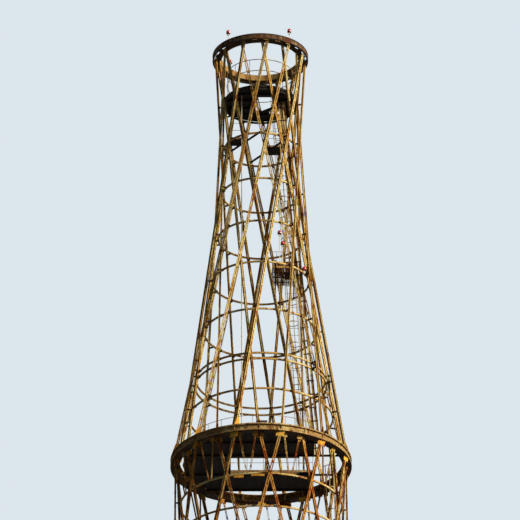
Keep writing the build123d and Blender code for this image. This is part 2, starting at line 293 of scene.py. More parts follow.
bar_paint = weathered_paint("cream_oil_paint_on_bars", "#E3CB85", "#CFA250", "#9C5724", "#3E2C1C")
low_bar_paint = weathered_paint(
    "rusting_oil_paint_on_low_bars", "#DDBC70", "#C68D40", "#94491C", "#3A2417", 0.6, 0.5
)
gusset_paint = weathered_paint(
    "ochre_oil_paint_on_gussets", "#F0BC4E", "#DE9C38", "#A0561F", "#4A2E1A", 0.45, 0.15
)
hoop_paint = weathered_paint("cream_oil_paint_on_hoops", "#E4CF8D", "#CDA356", "#95572A", "#3E2C20")
ring_paint = weathered_paint(
    "cream_oil_paint_on_rings", "#D2B878", "#AE8A54", "#7A4C2A", "#2C2119", 0.55, 0.35
)
# Broad dark patches: partly real stains, partly painted shade for the fascia's shaded side.
fascia_stains_and_painted_shade = weathered_paint(
    "stained_oil_paint_and_painted_shade_on_top_fascia", "#B79E70", "#6E583C", "#5E3D2A", "#231C18", 0.8, 0.6
)
ladder_paint = weathered_paint(
    "cream_oil_paint_on_ladders", "#D8C28A", "#AE8B55", "#7A4C2A", "#32261C", 0.5, 0.4
)
deck_paint = weathered_paint(
    "bitumen_paint_on_decks", "#1B191A", "#252122", "#3B2A20", "#121111", 0.4, 0.25
)
# Dark bitumen paint on bolts, clamps, lamp bases and grating; on the ring soffits, the top ring's seat and
# the cleats it is painted shade.
bitumen_and_painted_shade = weathered_paint(
    "bitumen_paint_and_painted_shade", "#2A2422", "#3A2E26", "#6A4026", "#161413", 0.5, 0.4
)
cabinet_paint = weathered_paint(
    "brown_enamel_on_cabinets", "#6B4326", "#7E5632", "#4A2E1C", "#2A1D15", 0.4, 0.2
)
print("paints:", len(bpy.data.materials))

# %% [markdown]
# Lamp glass, cream enamel and concrete
#
# The warning lamps are pressed red glass: a smooth dielectric of IOR 1.5 that light passes
# through, tinted by its base colour. Concrete is a rough dielectric: broad damp stains of
# two metres and a coarse grain of 60 mm, coarser than real sand so that it shows, give it
# its look.

# %% Glass, enamel and concrete
lamp_glass, _, shader, _ = new_material("pressed_red_glass")
shader.inputs["Base Color"].default_value = colour("#CE1C30")
shader.inputs["Roughness"].default_value = 0.12
shader.inputs["IOR"].default_value = 1.5
shader.inputs["Transmission Weight"].default_value = 0.15

enamel, tree, shader, place = new_material("cream_enamel_on_fittings")
values = {"Scale": noise_scale(60), "Detail": 4, "Roughness": 0.6}
noise = add_node(tree, "ShaderNodeTexNoise", {"Vector": place}, values)
values = {"From Min": 0.45, "From Max": 0.8}
grime = add_node(tree, "ShaderNodeMapRange", {"Value": noise.outputs[0]}, values)
values = {6: colour("#E9E2CF"), 7: colour("#B79C72")}
coat = add_node(tree, "ShaderNodeMix", {0: grime.outputs[0]}, values, data_type="RGBA")
tree.links.new(coat.outputs[2], shader.inputs["Base Color"])
shader.inputs["Roughness"].default_value = 0.35

concrete, tree, shader, place = new_material("cast_concrete")
values = {"Scale": noise_scale(2000), "Detail": 4, "Roughness": 0.6}
noise = add_node(tree, "ShaderNodeTexNoise", {"Vector": place}, values)
values = {"From Min": 0.35, "From Max": 0.7}
stains = add_node(tree, "ShaderNodeMapRange", {"Value": noise.outputs[0]}, values)
values = {6: colour("#A29D93"), 7: colour("#7E7A70")}
body = add_node(tree, "ShaderNodeMix", {0: stains.outputs[0]}, values, data_type="RGBA")
values = {"Scale": noise_scale(60), "Detail": 3, "Roughness": 0.6}
sand = add_node(tree, "ShaderNodeTexNoise", {"Vector": place}, values).outputs[0]
values = {"From Min": 0.5, "From Max": 0.75}
grains = add_node(tree, "ShaderNodeMapRange", {"Value": sand}, values)
links = {0: grains.outputs[0], 6: body.outputs[2]}
speckled = add_node(tree, "ShaderNodeMix", links, {7: colour("#5F5B53")}, data_type="RGBA")
tree.links.new(speckled.outputs[2], shader.inputs["Base Color"])
shader.inputs["Roughness"].default_value = 0.9
values = {"Strength": 0.5, "Distance": MM}
grain = add_node(tree, "ShaderNodeBump", {"Height": sand}, values)
tree.links.new(grain.outputs[0], shader.inputs["Normal"])
print("materials:", len(bpy.data.materials))

# %% [markdown]
# The bars: pairs of channels with battens
#
# A real bar is two rolled channels set back to back with a slit between them. Short batten
# plates, riveted on both faces, hold them together. The channel's outline is one face that
# is extruded along the bar, and the battens are boxes spaced along it. One bar is built at
# its own place, cut level where it meets the rings, and then repeated round the axis.

# %% One built-up bar
PLATE = 1.0 * MM
SLIT = 4.6 * MM
BATTEN_PITCH = 74 * MM
BATTEN_LENGTH = 13 * MM
RIVET = 1.1 * MM


def add_channel(bm, side, width, depth, length):
    """Channel with its web by the slit and its flanges pointing away from it."""
    near, far, tall = SLIT / 2, width / 2, depth / 2
    corners = (
        (near, -tall), (far, -tall), (far, PLATE - tall), (near + PLATE, PLATE - tall),
        (near + PLATE, tall - PLATE), (far, tall - PLATE), (far, tall), (near, tall),
    )
    verts = [bm.verts.new((side * x, y, 0)) for x, y in corners]
    face = bm.faces.new(verts)
    made = bmesh.ops.extrude_face_region(bm, geom=[face])["geom"]
    bmesh.ops.translate(bm, verts=of_kind(made, BMVert), vec=(0, 0, length))


def add_rivet(bm, place, out):
    """Low six-sided rivet head that points out of a plate."""
    turn = out.to_track_quat("Z", "Y").to_matrix().to_4x4()
    spot = Matrix.Translation(place + out * RIVET * 0.2) @ turn
    bmesh.ops.create_cone(
        bm, cap_ends=True, segments=6, radius1=RIVET, radius2=RIVET * 0.55, depth=RIVET * 0.7,
        matrix=spot,
    )


def add_battens(bm, width, depth, length, rivets):
    count = int(length / BATTEN_PITCH)
    for k in range(count):
        z = (k + 0.5) * length / count
        for face in (-1, 1):
            place = Vector((0, face * (depth / 2 - PLATE * 0.3), z))
            add_box(bm, (width * 0.94, PLATE * 0.6, BATTEN_LENGTH), place)
            if rivets:
                out = Vector((0, face, 0))
                for side in (-1, 1):
                    rivet = Vector((side * width * 0.27, face * depth / 2 - face * RIVET * 0.35, z))
                    add_rivet(bm, rivet, out)


def built_up_bar(bm, bar, rivets):
    depth = bar.depth - 0.6 * 2 * PLATE
    length = bar.length + bar.width
    for side in (-1, 1):
        add_channel(bm, side, bar.width, depth, length)
    add_battens(bm, bar.width, bar.depth, length, rivets)
    place = bar.matrix() @ Matrix.Translation((0, 0, -bar.width / 2))
    bmesh.ops.transform(bm, matrix=place, verts=bm.verts)
    for end, normal in ((bar.low[0], -UP), (bar.high[0], UP)):
        cut = bmesh.ops.bisect_plane(
            bm, geom=whole(bm), plane_co=end, plane_no=normal, clear_outer=True
        )["geom_cut"]
        bmesh.ops.holes_fill(bm, edges=of_kind(cut, BMEdge))


def dress_family(node, rivets):
    solids = solids_of(node)
    bm = bmesh.new()
    built_up_bar(bm, Bar(solids[0]), rivets)
    copies_round(bm, len(solids))
    paint = bar_paint if node.startswith("tier_6") else low_bar_paint
    finish_piece(f"{node}_channels", bm, paint, [node])


for tier in range(1, 7):
    for lean in ("right", "left"):
        dress_family(f"tier_{tier}_{lean}_bars", rivets=tier > 4)

# %% [markdown]
# The hoops: rolled channels
#
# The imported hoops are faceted. The real ones are channels rolled to a true circle with the
# web against the bars, so a section is spun round the axis. A hoop's radius is the distance
# from the axis to the inner faces of the left-leaning bars at that height, less a hair. The
# hoop that carries the upper deck is tarred with it, so it is a piece of its own.

# %% Spun sections
ROUND_STEPS = 96


def spin_outline(bm, points, sweep, steps, centre=(0, 0, 0), axis=(0, 0, 1)):
    """Spins a closed outline about an axis, and closes its ends where the turn isn't full."""
    full = sweep == FULL_TURN
    verts = [bm.verts.new(point) for point in points]
    edges = [bm.edges.new(pair) for pair in zip(verts, verts[1:] + verts[:1])]
    made = bmesh.ops.spin(
        bm, geom=verts + edges, cent=centre, axis=axis, dvec=(0, 0, 0),
        angle=sweep, steps=steps, use_merge=full,
    )
    if not full:
        bmesh.ops.holes_fill(bm, edges=edges)
        bmesh.ops.holes_fill(bm, edges=of_kind(made["geom_last"], BMEdge))


def spin_section(bm, corners, steps=ROUND_STEPS, start=0.0, sweep=FULL_TURN):
    """Turns a closed outline of (radius, height) corners into a ring or an arc."""
    spin_outline(bm, [polar(radius, start, z) for radius, z in corners], sweep, steps)


def spin_flat(bm, inner, outer, low, high):
    """Ring of rectangular section."""
    spin_section(bm, ((inner, low), (outer, low), (outer, high), (inner, high)))


def add_pipe_hoop(bm, radius, z, thick, start=0.0, sweep=FULL_TURN, steps=48):
    """Round bar bent to a circle or an arc."""
    turns = [k * math.pi / 3 for k in range(6)]
    corners = [(radius + thick * math.cos(t), z + thick * math.sin(t)) for t in turns]
    spin_section(bm, corners, steps, start, sweep)


def hoop_section(outer, inner, low, high, plate):
    """Corners of a channel whose web is on the outside and whose flanges point inwards."""
    return (
        (outer, low), (outer, high), (inner, high), (inner, high - plate),
        (outer - plate, high - plate), (outer - plate, low + plate), (inner, low + plate),
        (inner, low),
    )


def point_at(bar, z):
    return bar.foot.lerp(bar.head, (z - bar.foot.z) / (bar.head.z - bar.foot.z))


def inner_reach(bar, z):
    """Nearest distance from the axis to a bar at a height."""
    centre = point_at(bar, z)
    across = Vector((bar.across.x, bar.across.y, 0)).normalized() * bar.width / bar.axis.z / 2
    out = bar.out * bar.depth / 2
    corners = [centre + across * a + out * b for a in (-1, 1) for b in (-1, 1)]
    return min(Vector((p.x, p.y)).length for p in corners)


print("a hoop has", ROUND_STEPS * 8, "faces")

# %% Hoops of every tier
HOOP_HALF = 4.5 * MM
HOOP_WIDTH = 8 * MM


def levels_of(tier):
    """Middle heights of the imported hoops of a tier."""
    return sorted({round(middle(block).z, 4) for block in solids_of(f"tier_{tier}_hoops")})


def family_bars(tier, lean):
    return [Bar(corners) for corners in solids_of(f"tier_{tier}_{lean}_bars")]


def add_hoop(bm, bar, z, half, width):
    outer = min(inner_reach(bar, z - half), inner_reach(bar, z + half)) - 0.2 * MM
    section = hoop_section(outer, outer - width, z - half, z + half, PLATE * 1.3)
    spin_section(bm, section)
    return outer


hoop_rims = {}
deck_hoop = bmesh.new()
for tier in range(1, 7):
    bar = family_bars(tier, "left")[0]
    bm = bmesh.new()
    levels = levels_of(tier)
    for z in levels:
        carries_deck = tier == 6 and z == levels[-1]
        target = deck_hoop if carries_deck else bm
        hoop_rims[tier, z] = add_hoop(target, bar, z, HOOP_HALF, HOOP_WIDTH)
    name = f"tier_{tier}_rolled_hoops"
    finish_piece(name, bm, hoop_paint, [f"tier_{tier}_hoops"])
finish_piece("upper_deck_hoop", deck_hoop, deck_paint)

# %% [markdown]
# Light hoops between the main ones
#
# Between the heavy hoops the real lower tiers have lighter ones, which keep the long bars
# from bowing. They are the same rolled section at a smaller size.

# %% Light hoops of the lower tiers
LIGHT_SHARES = {1: (0.11, 0.22, 0.44, 0.55, 0.78, 0.89), 4: (0.125, 0.375, 0.625, 0.875)}
LIGHT_SHARES[2] = LIGHT_SHARES[3] = LIGHT_SHARES[1]
LIGHT_HALF, LIGHT_WIDTH = 3.2 * MM, 6 * MM
for tier, shares in LIGHT_SHARES.items():
    bar = family_bars(tier, "left")[0]
    bm = bmesh.new()
    for share in shares:
        z = bar.foot.z + share * (bar.head.z - bar.foot.z)
        hoop_rims[tier, z] = add_hoop(bm, bar, z, LIGHT_HALF, LIGHT_WIDTH)
    finish_piece(f"tier_{tier}_light_hoops", bm, hoop_paint)

# %% [markdown]
# Cleats that join hoops and bars
#
# Where a hoop passes a bar of the inner family it is held by a wrapped cleat. The outer
# family stands one bar's thickness further out, so a short bracket reaches over to it.
# Each is a block turned to the bar's bearing.

# %% Cleats and brackets
def add_cleats(bm, tier, z, rim):
    for bar in family_bars(tier, "left"):
        spot = point_at(bar, z)
        angle = bearing(spot)
        add_block(bm, (HOOP_WIDTH + 3 * MM, 11 * MM, 12 * MM), rim - HOOP_WIDTH / 2, angle, z)
    for bar in family_bars(tier, "right"):
        spot = point_at(bar, z)
        angle = bearing(spot)
        reach = math.hypot(spot.x, spot.y) - bar.depth / 2 - rim + HOOP_WIDTH / 2
        middle_radius = rim - HOOP_WIDTH / 2 + reach / 2
        add_block(bm, (reach, 8 * MM, 7 * MM), middle_radius, angle, z)


for tier in range(1, 7):
    bm = bmesh.new()
    for (owner, z), rim in hoop_rims.items():
        if owner == tier:
            add_cleats(bm, tier, z, rim)
    # painted shade: the cleats take the black paint for the shade they sit in
    finish_piece(f"tier_{tier}_cleats", bm, bitumen_and_painted_shade)

# %% [markdown]
# The rings where two tiers meet
#
# A ring is a plate girder bent to a circle: two flange plates with an upright web between
# them, and stiffeners where the bars push. The section is spun to a true circle whose
# radius is that of the imported ring's flats, so it stays inside the imported solid. The
# upper flange and the web are cream. The soffit is painted black as painted shade for the
# shade under the ring, so it is its own piece.

# %% Girder rings
LIP = 2 * MM
LIP_HEIGHT = 7 * MM
SOFFIT_INSET = 2.1 * MM
RIVETS_ROUND = 96


def ring_size(*nodes):
    points = [v.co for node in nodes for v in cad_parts[node].data.vertices]
    heights = [p.z for p in points]
    inner = min(math.hypot(p.x, p.y) for p in points)
    return max(p.x for p in points), inner, min(heights), max(heights)


def add_upper_flange(bm, outer, inner, low, high, plate):
    """Flat ring with a lip turned down on its outer edge, and a lower lip to match."""
    upper = (
        (inner, high), (outer, high), (outer, high - LIP_HEIGHT), (outer - LIP, high - LIP_HEIGHT),
        (outer - LIP, high - plate), (inner, high - plate),
    )
    spin_section(bm, upper)
    spin_flat(bm, outer - LIP, outer, low, low + LIP_HEIGHT)


def add_lower_flange(bm, outer, inner, low, plate):
    """Flat ring inside the lower lip; its underside never sees the sun, so it takes black paint as painted
    shade.
    """
    spin_flat(bm, inner, outer - SOFFIT_INSET, low, low + plate)


def add_web(bm, low, high, plate, web):
    """Upright ring between the flanges."""
    spin_flat(bm, web - plate, web, low + plate, high - plate)


def add_stiffeners(bm, size, plate, web, angles):
    outer, inner, low, high = size
    for angle in angles:
        for a, b in ((web, outer - 3 * MM), (inner + 2 * MM, web - plate)):
            block = (b - a, 2 * MM, high - low - 2 * plate)
            add_block(bm, block, (a + b) / 2, angle, (low + high) / 2)


def add_edge_rivets(bm, size, web):
    """Rivets on the flanges' faces, over the web's angles."""
    low, high = size[2:]
    for k in range(RIVETS_ROUND):
        angle = FULL_TURN * k / RIVETS_ROUND
        for radius in (web + 5 * MM, web - 8 * MM):
            add_rivet(bm, polar(radius, angle, low), -UP)
            add_rivet(bm, polar(radius, angle, high), UP)


def dress_ring(name, size, plate, web_back, angles, nodes):
    web = size[0] - web_back
    bm = bmesh.new()
    add_upper_flange(bm, *size, plate)
    finish_piece(f"{name}_flange_plates", bm, ring_paint, nodes)
    bm = bmesh.new()
    add_lower_flange(bm, *size[:3], plate)
    # painted shade: the soffit takes the black paint for the shade under the ring
    finish_piece(f"{name}_soffit", bm, bitumen_and_painted_shade)
    bm = bmesh.new()
    add_web(bm, size[2], size[3], plate, web)
    add_edge_rivets(bm, size, web)
    add_stiffeners(bm, size, plate, web, angles)
    finish_piece(f"{name}_web_plates", bm, ring_paint)


RING_PLATE = 3 * MM
RING_WEB_BACK = 8 * MM
for index in range(1, 6):
    nodes = [f"ring_{index}"] if index < 5 else ["ring_5_flanges", "ring_5_web"]
    ends = [bearing(bar.head) for lean in ("right", "left") for bar in family_bars(index, lean)]
    dress_ring(f"ring_{index}", ring_size(*nodes), RING_PLATE, RING_WEB_BACK, ends, nodes)

# %% [markdown]
# The ring at the top
#
# The top ring is an outer channel, open inwards, and an inner band with a flat seat that
# the bars end on. Short plates tie the two, with gaps of daylight between them. Its upper
# edge is a bitumen-painted rim, and splice plates cover the butt joints of its fascia. The
# fascia's paint is darkened in broad patches, partly for stains and partly as painted
# shade, and the soffit and the seat under the ring are painted black as painted shade.

# %% Top ring
SPLICES = 24
RIM_HEIGHT = 6 * MM
outer, flange_inner, low, high = ring_size("top_ring_flanges")
bm = bmesh.new()
edge = outer - MM
fascia = (
    (edge, low + RING_PLATE), (edge, high - RING_PLATE), (flange_inner, high - RING_PLATE),
    (flange_inner, high - 2 * RING_PLATE), (edge - RING_PLATE, high - 2 * RING_PLATE),
    (edge - RING_PLATE, low + RING_PLATE),
)
spin_section(bm, fascia)
for k in range(SPLICES):
    angle = FULL_TURN * (k + 0.5) / SPLICES
    add_block(bm, (1.8 * MM, 16 * MM, high - low - 13 * MM), outer - MM, angle, (low + high) / 2)
# painted shade: the fascia's dark patches stand partly for stains and partly for shade
finish_piece(
    "top_ring_channel", bm, fascia_stains_and_painted_shade, ["top_ring_flanges", "top_ring_web"]
)

bm = bmesh.new()
rim = (
    (flange_inner, high - RING_PLATE), (outer - LIP, high - RING_PLATE),
    (outer - LIP, high - RIM_HEIGHT), (outer, high - RIM_HEIGHT), (outer, high),
    (flange_inner, high),
)
spin_section(bm, rim)
# painted shade: the soffit under the channel is painted black for the shade it sits in
spin_flat(bm, flange_inner, outer - SOFFIT_INSET, low, low + RING_PLATE)
spin_flat(bm, outer - LIP, outer, low, low + RIM_HEIGHT)
finish_piece("top_ring_rims", bm, bitumen_and_painted_shade)

# %% Inner band and seat of the top ring
outer, inner, low, high = ring_size("top_ring_band")
bm = bmesh.new()
band = inner + RING_PLATE
spin_flat(bm, inner, band, low, high)
finish_piece("top_ring_inner_band", bm, ring_paint, ["top_ring_band"])

# painted shade: the seat's underside is painted black for the shade under the ring
bm = bmesh.new()
spin_flat(bm, band + 0.3 * MM, outer, low, low + RING_PLATE)
finish_piece("top_ring_seat", bm, bitumen_and_painted_shade)

# %% [markdown]
# Gussets at the bars' ends
#
# A bar passes its load to the ring through a gusset plate riveted to its face. The plate is
# a cube whose far side is drawn in, then sheared along the bar, so that its edge lies level
# on the ring while its sides follow the bar's lean.

# %% Gusset plates
def add_gusset(bm, bar, at_foot, side, width, height, taper=0.55):
    sign = 1 if at_foot else -1
    thick = 1.8 * MM
    verts = bmesh.ops.create_cube(bm, size=1)["verts"]
    for vert in verts:
        if vert.co.z * sign > 0:
            vert.co.x *= taper
    tangent = UP.cross(bar.out)
    rise = bar.axis / bar.axis.z
    end = bar.foot if at_foot else bar.head
    centre = end + rise * sign * height / 2 + bar.out * side * (bar.depth + thick) / 2
    shape = Matrix((tangent * width, bar.out * thick, rise * height)).transposed().to_4x4()
    bmesh.ops.transform(bm, matrix=Matrix.Translation(centre) @ shape, verts=verts)
    face = bar.out * side
    for across, along in ((-0.3, 0.2), (0.3, 0.2), (-0.15, 0.65), (0.15, 0.65)):
        spot = end + tangent * width * across + rise * sign * height * along
        add_rivet(bm, spot + face * (bar.depth / 2 + thick), face)


for tier in range(1, 7):
    for lean, side in (("right", 1), ("left", -1)):
        bars = family_bars(tier, lean)
        bm = bmesh.new()
        for at_foot in (True, False):
            if tier == 5 and not at_foot:
                add_gusset(bm, bars[0], at_foot, side, 46 * MM, 28 * MM, 0.9)
            elif tier < 6 or at_foot:
                add_gusset(bm, bars[0], at_foot, side, 34 * MM, 46 * MM)
        copies_round(bm, len(bars))
        finish_piece(f"tier_{tier}_{lean}_gussets", bm, gusset_paint)

# %% [markdown]
# Fans of short braces under the big ring
#
# Each fan is a pair of short bars that leave the highest hoop together and spread to the
# ring. They are light channels with a gusset at the top.

# %% Fan braces
bm = bmesh.new()
for corners in solids_of("fan_braces"):
    brace = Bar(corners)
    part = bmesh.new()
    built_up_bar(part, brace, False)
    add_gusset(part, brace, False, 1, 30 * MM, 24 * MM, 0.9)
    add_part(bm, part)
finish_piece("fan_brace_channels", bm, low_bar_paint, ["fan_braces"])

# %% [markdown]
# The foot of the mast
#
# The lowest ring stands on a concrete ring cast in 24 straight lengths of shuttering, so it
# keeps its flats while its upper edges are chamfered. Each bar's shoe is held by anchor
# bolts that come up out of the concrete beside the ring.

# %% Concrete footing
outer, inner, low, high = ring_size("footing")
FLATS = 24
corner = 1 / math.cos(math.pi / FLATS)
chamfer = 5 * MM
profile = (
    (inner, low), (outer * corner, low), (outer * corner, high - chamfer),
    ((outer - chamfer) * corner, high), (inner + chamfer, high), (inner, high - chamfer),
)
bm = bmesh.new()
spin_section(bm, profile, steps=FLATS, start=math.pi / FLATS)
finish_piece("footing_casting", bm, concrete, ["footing"])

# %% Base ring with anchor bolts
BASE_PLATE = 4 * MM
BASE_WEB_BACK = 16 * MM
ANCHOR_OUT = 12 * MM


def add_anchor(bm, radius, angle, z):
    foot = polar(radius, angle, z)
    add_block(bm, (12 * MM, 12 * MM, 1.5 * MM), radius, angle, z + 0.75 * MM)
    add_rod(bm, foot, foot + UP * 6 * MM, 3.4 * MM)
    add_rod(bm, foot, foot + UP * 12 * MM, 1.7 * MM, 8)


size = ring_size("base_ring")
outer, inner, low, high = size
ends = [bearing(bar.foot) for lean in ("right", "left") for bar in family_bars(1, lean)]
dress_ring("base_ring", size, BASE_PLATE, BASE_WEB_BACK, ends, ["base_ring"])
bm = bmesh.new()
for angle in ends:
    for shift in (-0.012, 0.012):
        add_anchor(bm, outer + ANCHOR_OUT, angle + shift, low)
        add_anchor(bm, inner - ANCHOR_OUT, angle + shift, low)
finish_piece("anchor_bolts", bm, bitumen_and_painted_shade)

# %% [markdown]
# Decks and joists
#
# The decks are flat plates on joists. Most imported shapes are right, so those CAD nodes stay
# and only take the bitumen paint. Their undersides, which are what one sees from the
# ground, get the ribs that keep thin plate flat.

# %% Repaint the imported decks
def repaint(node, material):
    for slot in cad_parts[node].material_slots:
        slot.material = material


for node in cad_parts:
    if node.endswith(("_deck", "_joists", "_plates", "_beams")):
        repaint(node, deck_paint)
repaint("top_ring_ties", bitumen_and_painted_shade)
print("tarred:", sum(deck_paint.name in node.data.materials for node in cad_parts.values()))


# %% Ribs under the main deck
def extent(points):
    low = [min(p[k] for p in points) for k in range(3)]
    high = [max(p[k] for p in points) for k in range(3)]
    return low, high


def add_ribs(bm, low, high, rim, pitch, depth):
    """Upright ribs under a plate, cut to the rim of its round deck."""
    count = max(1, int((high[0] - low[0]) / pitch))
    for k in range(count + 1):
        x = low[0] + 3 * MM + (high[0] - low[0] - 6 * MM) * k / count
        if abs(x) >= rim:
            continue
        reach = math.sqrt(rim**2 - x**2)
        a, b = max(low[1], -reach), min(high[1], reach)
        if b - a > 20 * MM:
            spot = Vector((x, (a + b) / 2, low[2] - depth / 2))
            add_box(bm, (1.6 * MM, b - a, depth), spot)


def rim_of(node):
    return max(math.hypot(v.co.x, v.co.y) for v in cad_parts[node].data.vertices)


bm = bmesh.new()
for plate in solids_of("main_deck"):
    add_ribs(bm, *extent(plate), rim_of("main_deck") - 6 * MM, 46 * MM, 5 * MM)
finish_piece("main_deck_ribs", bm, deck_paint)

# %% [markdown]
# The upper deck and its hatch
#
# The upper deck fills the mast from hoop to hoop. It is a disc with holes: planes cut the
# disc's face along the hatches' edges, the pieces within them are deleted, and what is left
# is extruded to its thickness. Joists that meet the big hatch stop at trimmers beside it,
# and a beam runs across its corner.

# %% Upper deck
DECK_HATCHES = (
    (-28 * MM, 77 * MM, -75 * MM, 84 * MM),
    (50 * MM, 112 * MM, 92 * MM, 128 * MM),
)


def add_round_plate(bm, radius, low, high, holes):
    """Disc with rectangular holes (left, right, front, back), from one height to another."""
    place = Matrix.Translation((0, 0, low))
    bmesh.ops.create_circle(bm, cap_ends=True, segments=ROUND_STEPS, radius=radius, matrix=place)
    for left, right, front, back in holes:
        cuts = [((x, 0, 0), (1, 0, 0)) for x in (left, right)]
        cuts += [((0, y, 0), (0, 1, 0)) for y in (front, back)]
        for spot, normal in cuts:
            bmesh.ops.bisect_plane(bm, geom=whole(bm), plane_co=spot, plane_no=normal)
    waste = []
    for face in bm.faces:
        spot = face.calc_center_median()
        if any(a < spot.x < b and c < spot.y < d for a, b, c, d in holes):
            waste.append(face)
    bmesh.ops.delete(bm, geom=waste, context="FACES")
    made = bmesh.ops.extrude_face_region(bm, geom=bm.faces[:])["geom"]
    bmesh.ops.translate(bm, verts=of_kind(made, BMVert), vec=(0, 0, high - low))


low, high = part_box("upper_deck")
deck_rim = inner_reach(family_bars(6, "left")[0], high[2]) - 1.5 * MM
bm = bmesh.new()
add_round_plate(bm, deck_rim, low[2], high[2], DECK_HATCHES)
finish_piece("upper_deck_plates", bm, deck_paint, ["upper_deck"])

# %% Joists and trimmers of the upper deck
TRIMMER_WIDTH = 7 * MM
TRIMMER_LENGTH = 240 * MM
left, right, front, back = DECK_HATCHES[0]
joist_low, joist_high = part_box("upper_joists")
depth = joist_high[2] - joist_low[2]
z = (joist_high[2] + joist_low[2]) / 2
bm = bmesh.new()
for solid in solids_of("upper_joists"):
    a, b = extent(solid)
    y, width = (a[1] + b[1]) / 2, b[1] - a[1]
    spans = [(a[0], left), (right, b[0])] if front < y < back else [(a[0], b[0])]
    for start, end in spans:
        add_box(bm, (end - start, width, depth), Vector(((start + end) / 2, y, z)))
for x in (left - TRIMMER_WIDTH / 2, right + TRIMMER_WIDTH / 2):
    add_box(bm, (TRIMMER_WIDTH, TRIMMER_LENGTH, depth * 0.9), Vector((x, 0, z)))
beam = (Vector((14 * MM, back, z)), Vector((right + 34 * MM, 6 * MM, z)))
add_strip(bm, *beam, depth, 13 * MM, Vector((0.6, 0.8, 0)))
ribbed = [-deck_rim, -deck_rim, low[2]], [left, deck_rim, low[2]]
add_ribs(bm, *ribbed, deck_rim - 8 * MM, 33 * MM, 4 * MM)
finish_piece("upper_deck_joists", bm, deck_paint, ["upper_joists"])

# %% [markdown]
# Guard rails
#
# A deck's edge has two round rails on posts and a toe board. Rails round the rim are arcs
# spun about the mast's axis; the straight edges get straight rods.

# %% Rail helpers
RAIL = 1.5 * MM
DECK_RAILS = (55 * MM, 105 * MM)
LANDING_RAILS = (55 * MM, 100 * MM)
UPPER_RAILS = (108 * MM, 178 * MM)
REST_RAILS = (32 * MM, 66 * MM, 100 * MM)
POST_PITCH = 90 * MM


def add_straight_rail(bm, start, end, heights, spacing):
    for height in heights:
        add_rod(bm, start + UP * height, end + UP * height, RAIL)
    count = max(1, round((end - start).length / spacing))
    for k in range(count + 1):
        foot = start.lerp(end, k / count)
        add_rod(bm, foot, foot + UP * (max(heights) + RAIL), RAIL)
    along = (end - start).normalized()
    add_strip(bm, start + UP * 6 * MM, end + UP * 6 * MM, 11 * MM, 1.2 * MM, along.cross(UP))


def add_round_rail(bm, radius, z, heights, start, sweep, posts, thick=RAIL):
    for height in heights:
        add_pipe_hoop(bm, radius, z + height, thick, start, sweep)
    spaces = posts if sweep == FULL_TURN else posts - 1
    for k in range(posts):
        foot = polar(radius, start + sweep * k / spaces, z)
        add_rod(bm, foot, foot + UP * (max(heights) + RAIL), RAIL)


print("rails of the decks stand", [round(h / MM) for h in DECK_RAILS], "mm high")

# %% Main deck's rails
low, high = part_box("main_deck")
floor_z = high[2]
rim = rim_of("main_deck") - 14 * MM
right, back = high[0] - 4 * MM, high[1] - 4 * MM
first, last = math.pi - math.asin(back / rim), FULL_TURN - math.acos(right / rim)
bm = bmesh.new()
add_round_rail(bm, rim, floor_z, DECK_RAILS, first, last - first, 16)
half_chord = math.sqrt(rim**2 - back**2)
plates = sorted((extent(p) for p in solids_of("main_deck")), key=lambda e: e[0][1])
hatch_left = min(e[1][0] for e in plates)
hatch_front, hatch_back = plates[0][1][1], plates[-1][0][1]
runs = ((-half_chord, half_chord, back), (hatch_left, right, hatch_front), (hatch_left, right, hatch_back))
for start, end, y in runs:
    ends = Vector((start, y, floor_z)), Vector((end, y, floor_z))
    add_straight_rail(bm, *ends, DECK_RAILS, POST_PITCH)
finish_piece("main_deck_rails", bm, ladder_paint)

# %% Upper deck's rails
low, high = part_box("upper_deck")
bm = bmesh.new()
rail_radius = deck_rim - 16 * MM
add_round_rail(bm, rail_radius, high[2], UPPER_RAILS, 0.2, FULL_TURN, 12, 2.1 * MM)
finish_piece("upper_deck_rails", bm, ladder_paint)

bm = bmesh.new()
spin_flat(bm, deck_rim, deck_rim + MM, low[2] - 4 * MM, high[2] + 8 * MM)
finish_piece("upper_deck_toe_board", bm, deck_paint)

# %% [markdown]
# Frame of the main hatch
#
# Flat bars on edge line the hatch just under the deck. Deck plates mark three of its sides.

# %% Frame of the main hatch
HATCH_WIDTH = 370 * MM  # as in the CAD, where no plate marks the hatch's right side
FRAME = (9 * MM, 3 * MM)
deck_under = plates[0][0][2]
z = deck_under - 5 * MM
bm = bmesh.new()
hatch_right = hatch_left + HATCH_WIDTH
for y in (hatch_front, hatch_back):
    ends = Vector((hatch_left, y, z)), Vector((hatch_right, y, z))
    add_strip(bm, *ends, *FRAME, Vector((0, 1, 0)))
for x in (hatch_left, hatch_right):
    ends = Vector((x, hatch_front, z)), Vector((x, hatch_back, z))
    add_strip(bm, *ends, *FRAME, Vector((1, 0, 0)))
finish_piece("main_hatch_frame", bm, ring_paint)

# %% [markdown]
# Boards under the hatch's far edge
#
# Two short boards hang under the far edge of the hatch, left of its middle. They are
# painted in the ochre of the gussets and are plain strips on edge, fixed to the front of
# the hatch's frame.

# %% Boards under the hatch
BOARD_THICK = 3 * MM
BOARDS = ((-146, -95, 8, 24), (-54, 19, 2, 20))  # left and right ends, drop and depth, in mm
y = hatch_back - BOARD_THICK
bm = bmesh.new()
for start, end, drop, depth in BOARDS:
    level = deck_under - (drop + depth / 2) * MM
    ends = Vector((start * MM, y, level)), Vector((end * MM, y, level))
    add_strip(bm, *ends, depth * MM, BOARD_THICK, Vector((0, 1, 0)))
finish_piece("hatch_boards", bm, gusset_paint)

# %% [markdown]
# Ladders and their cages
#
# A ladder is two flat stringers with round rungs between them. A cage of hoops and straps
# stands off the climber's side; each hoop is a short outline spun about the ladder's own
# axis, from one stringer round to the other.

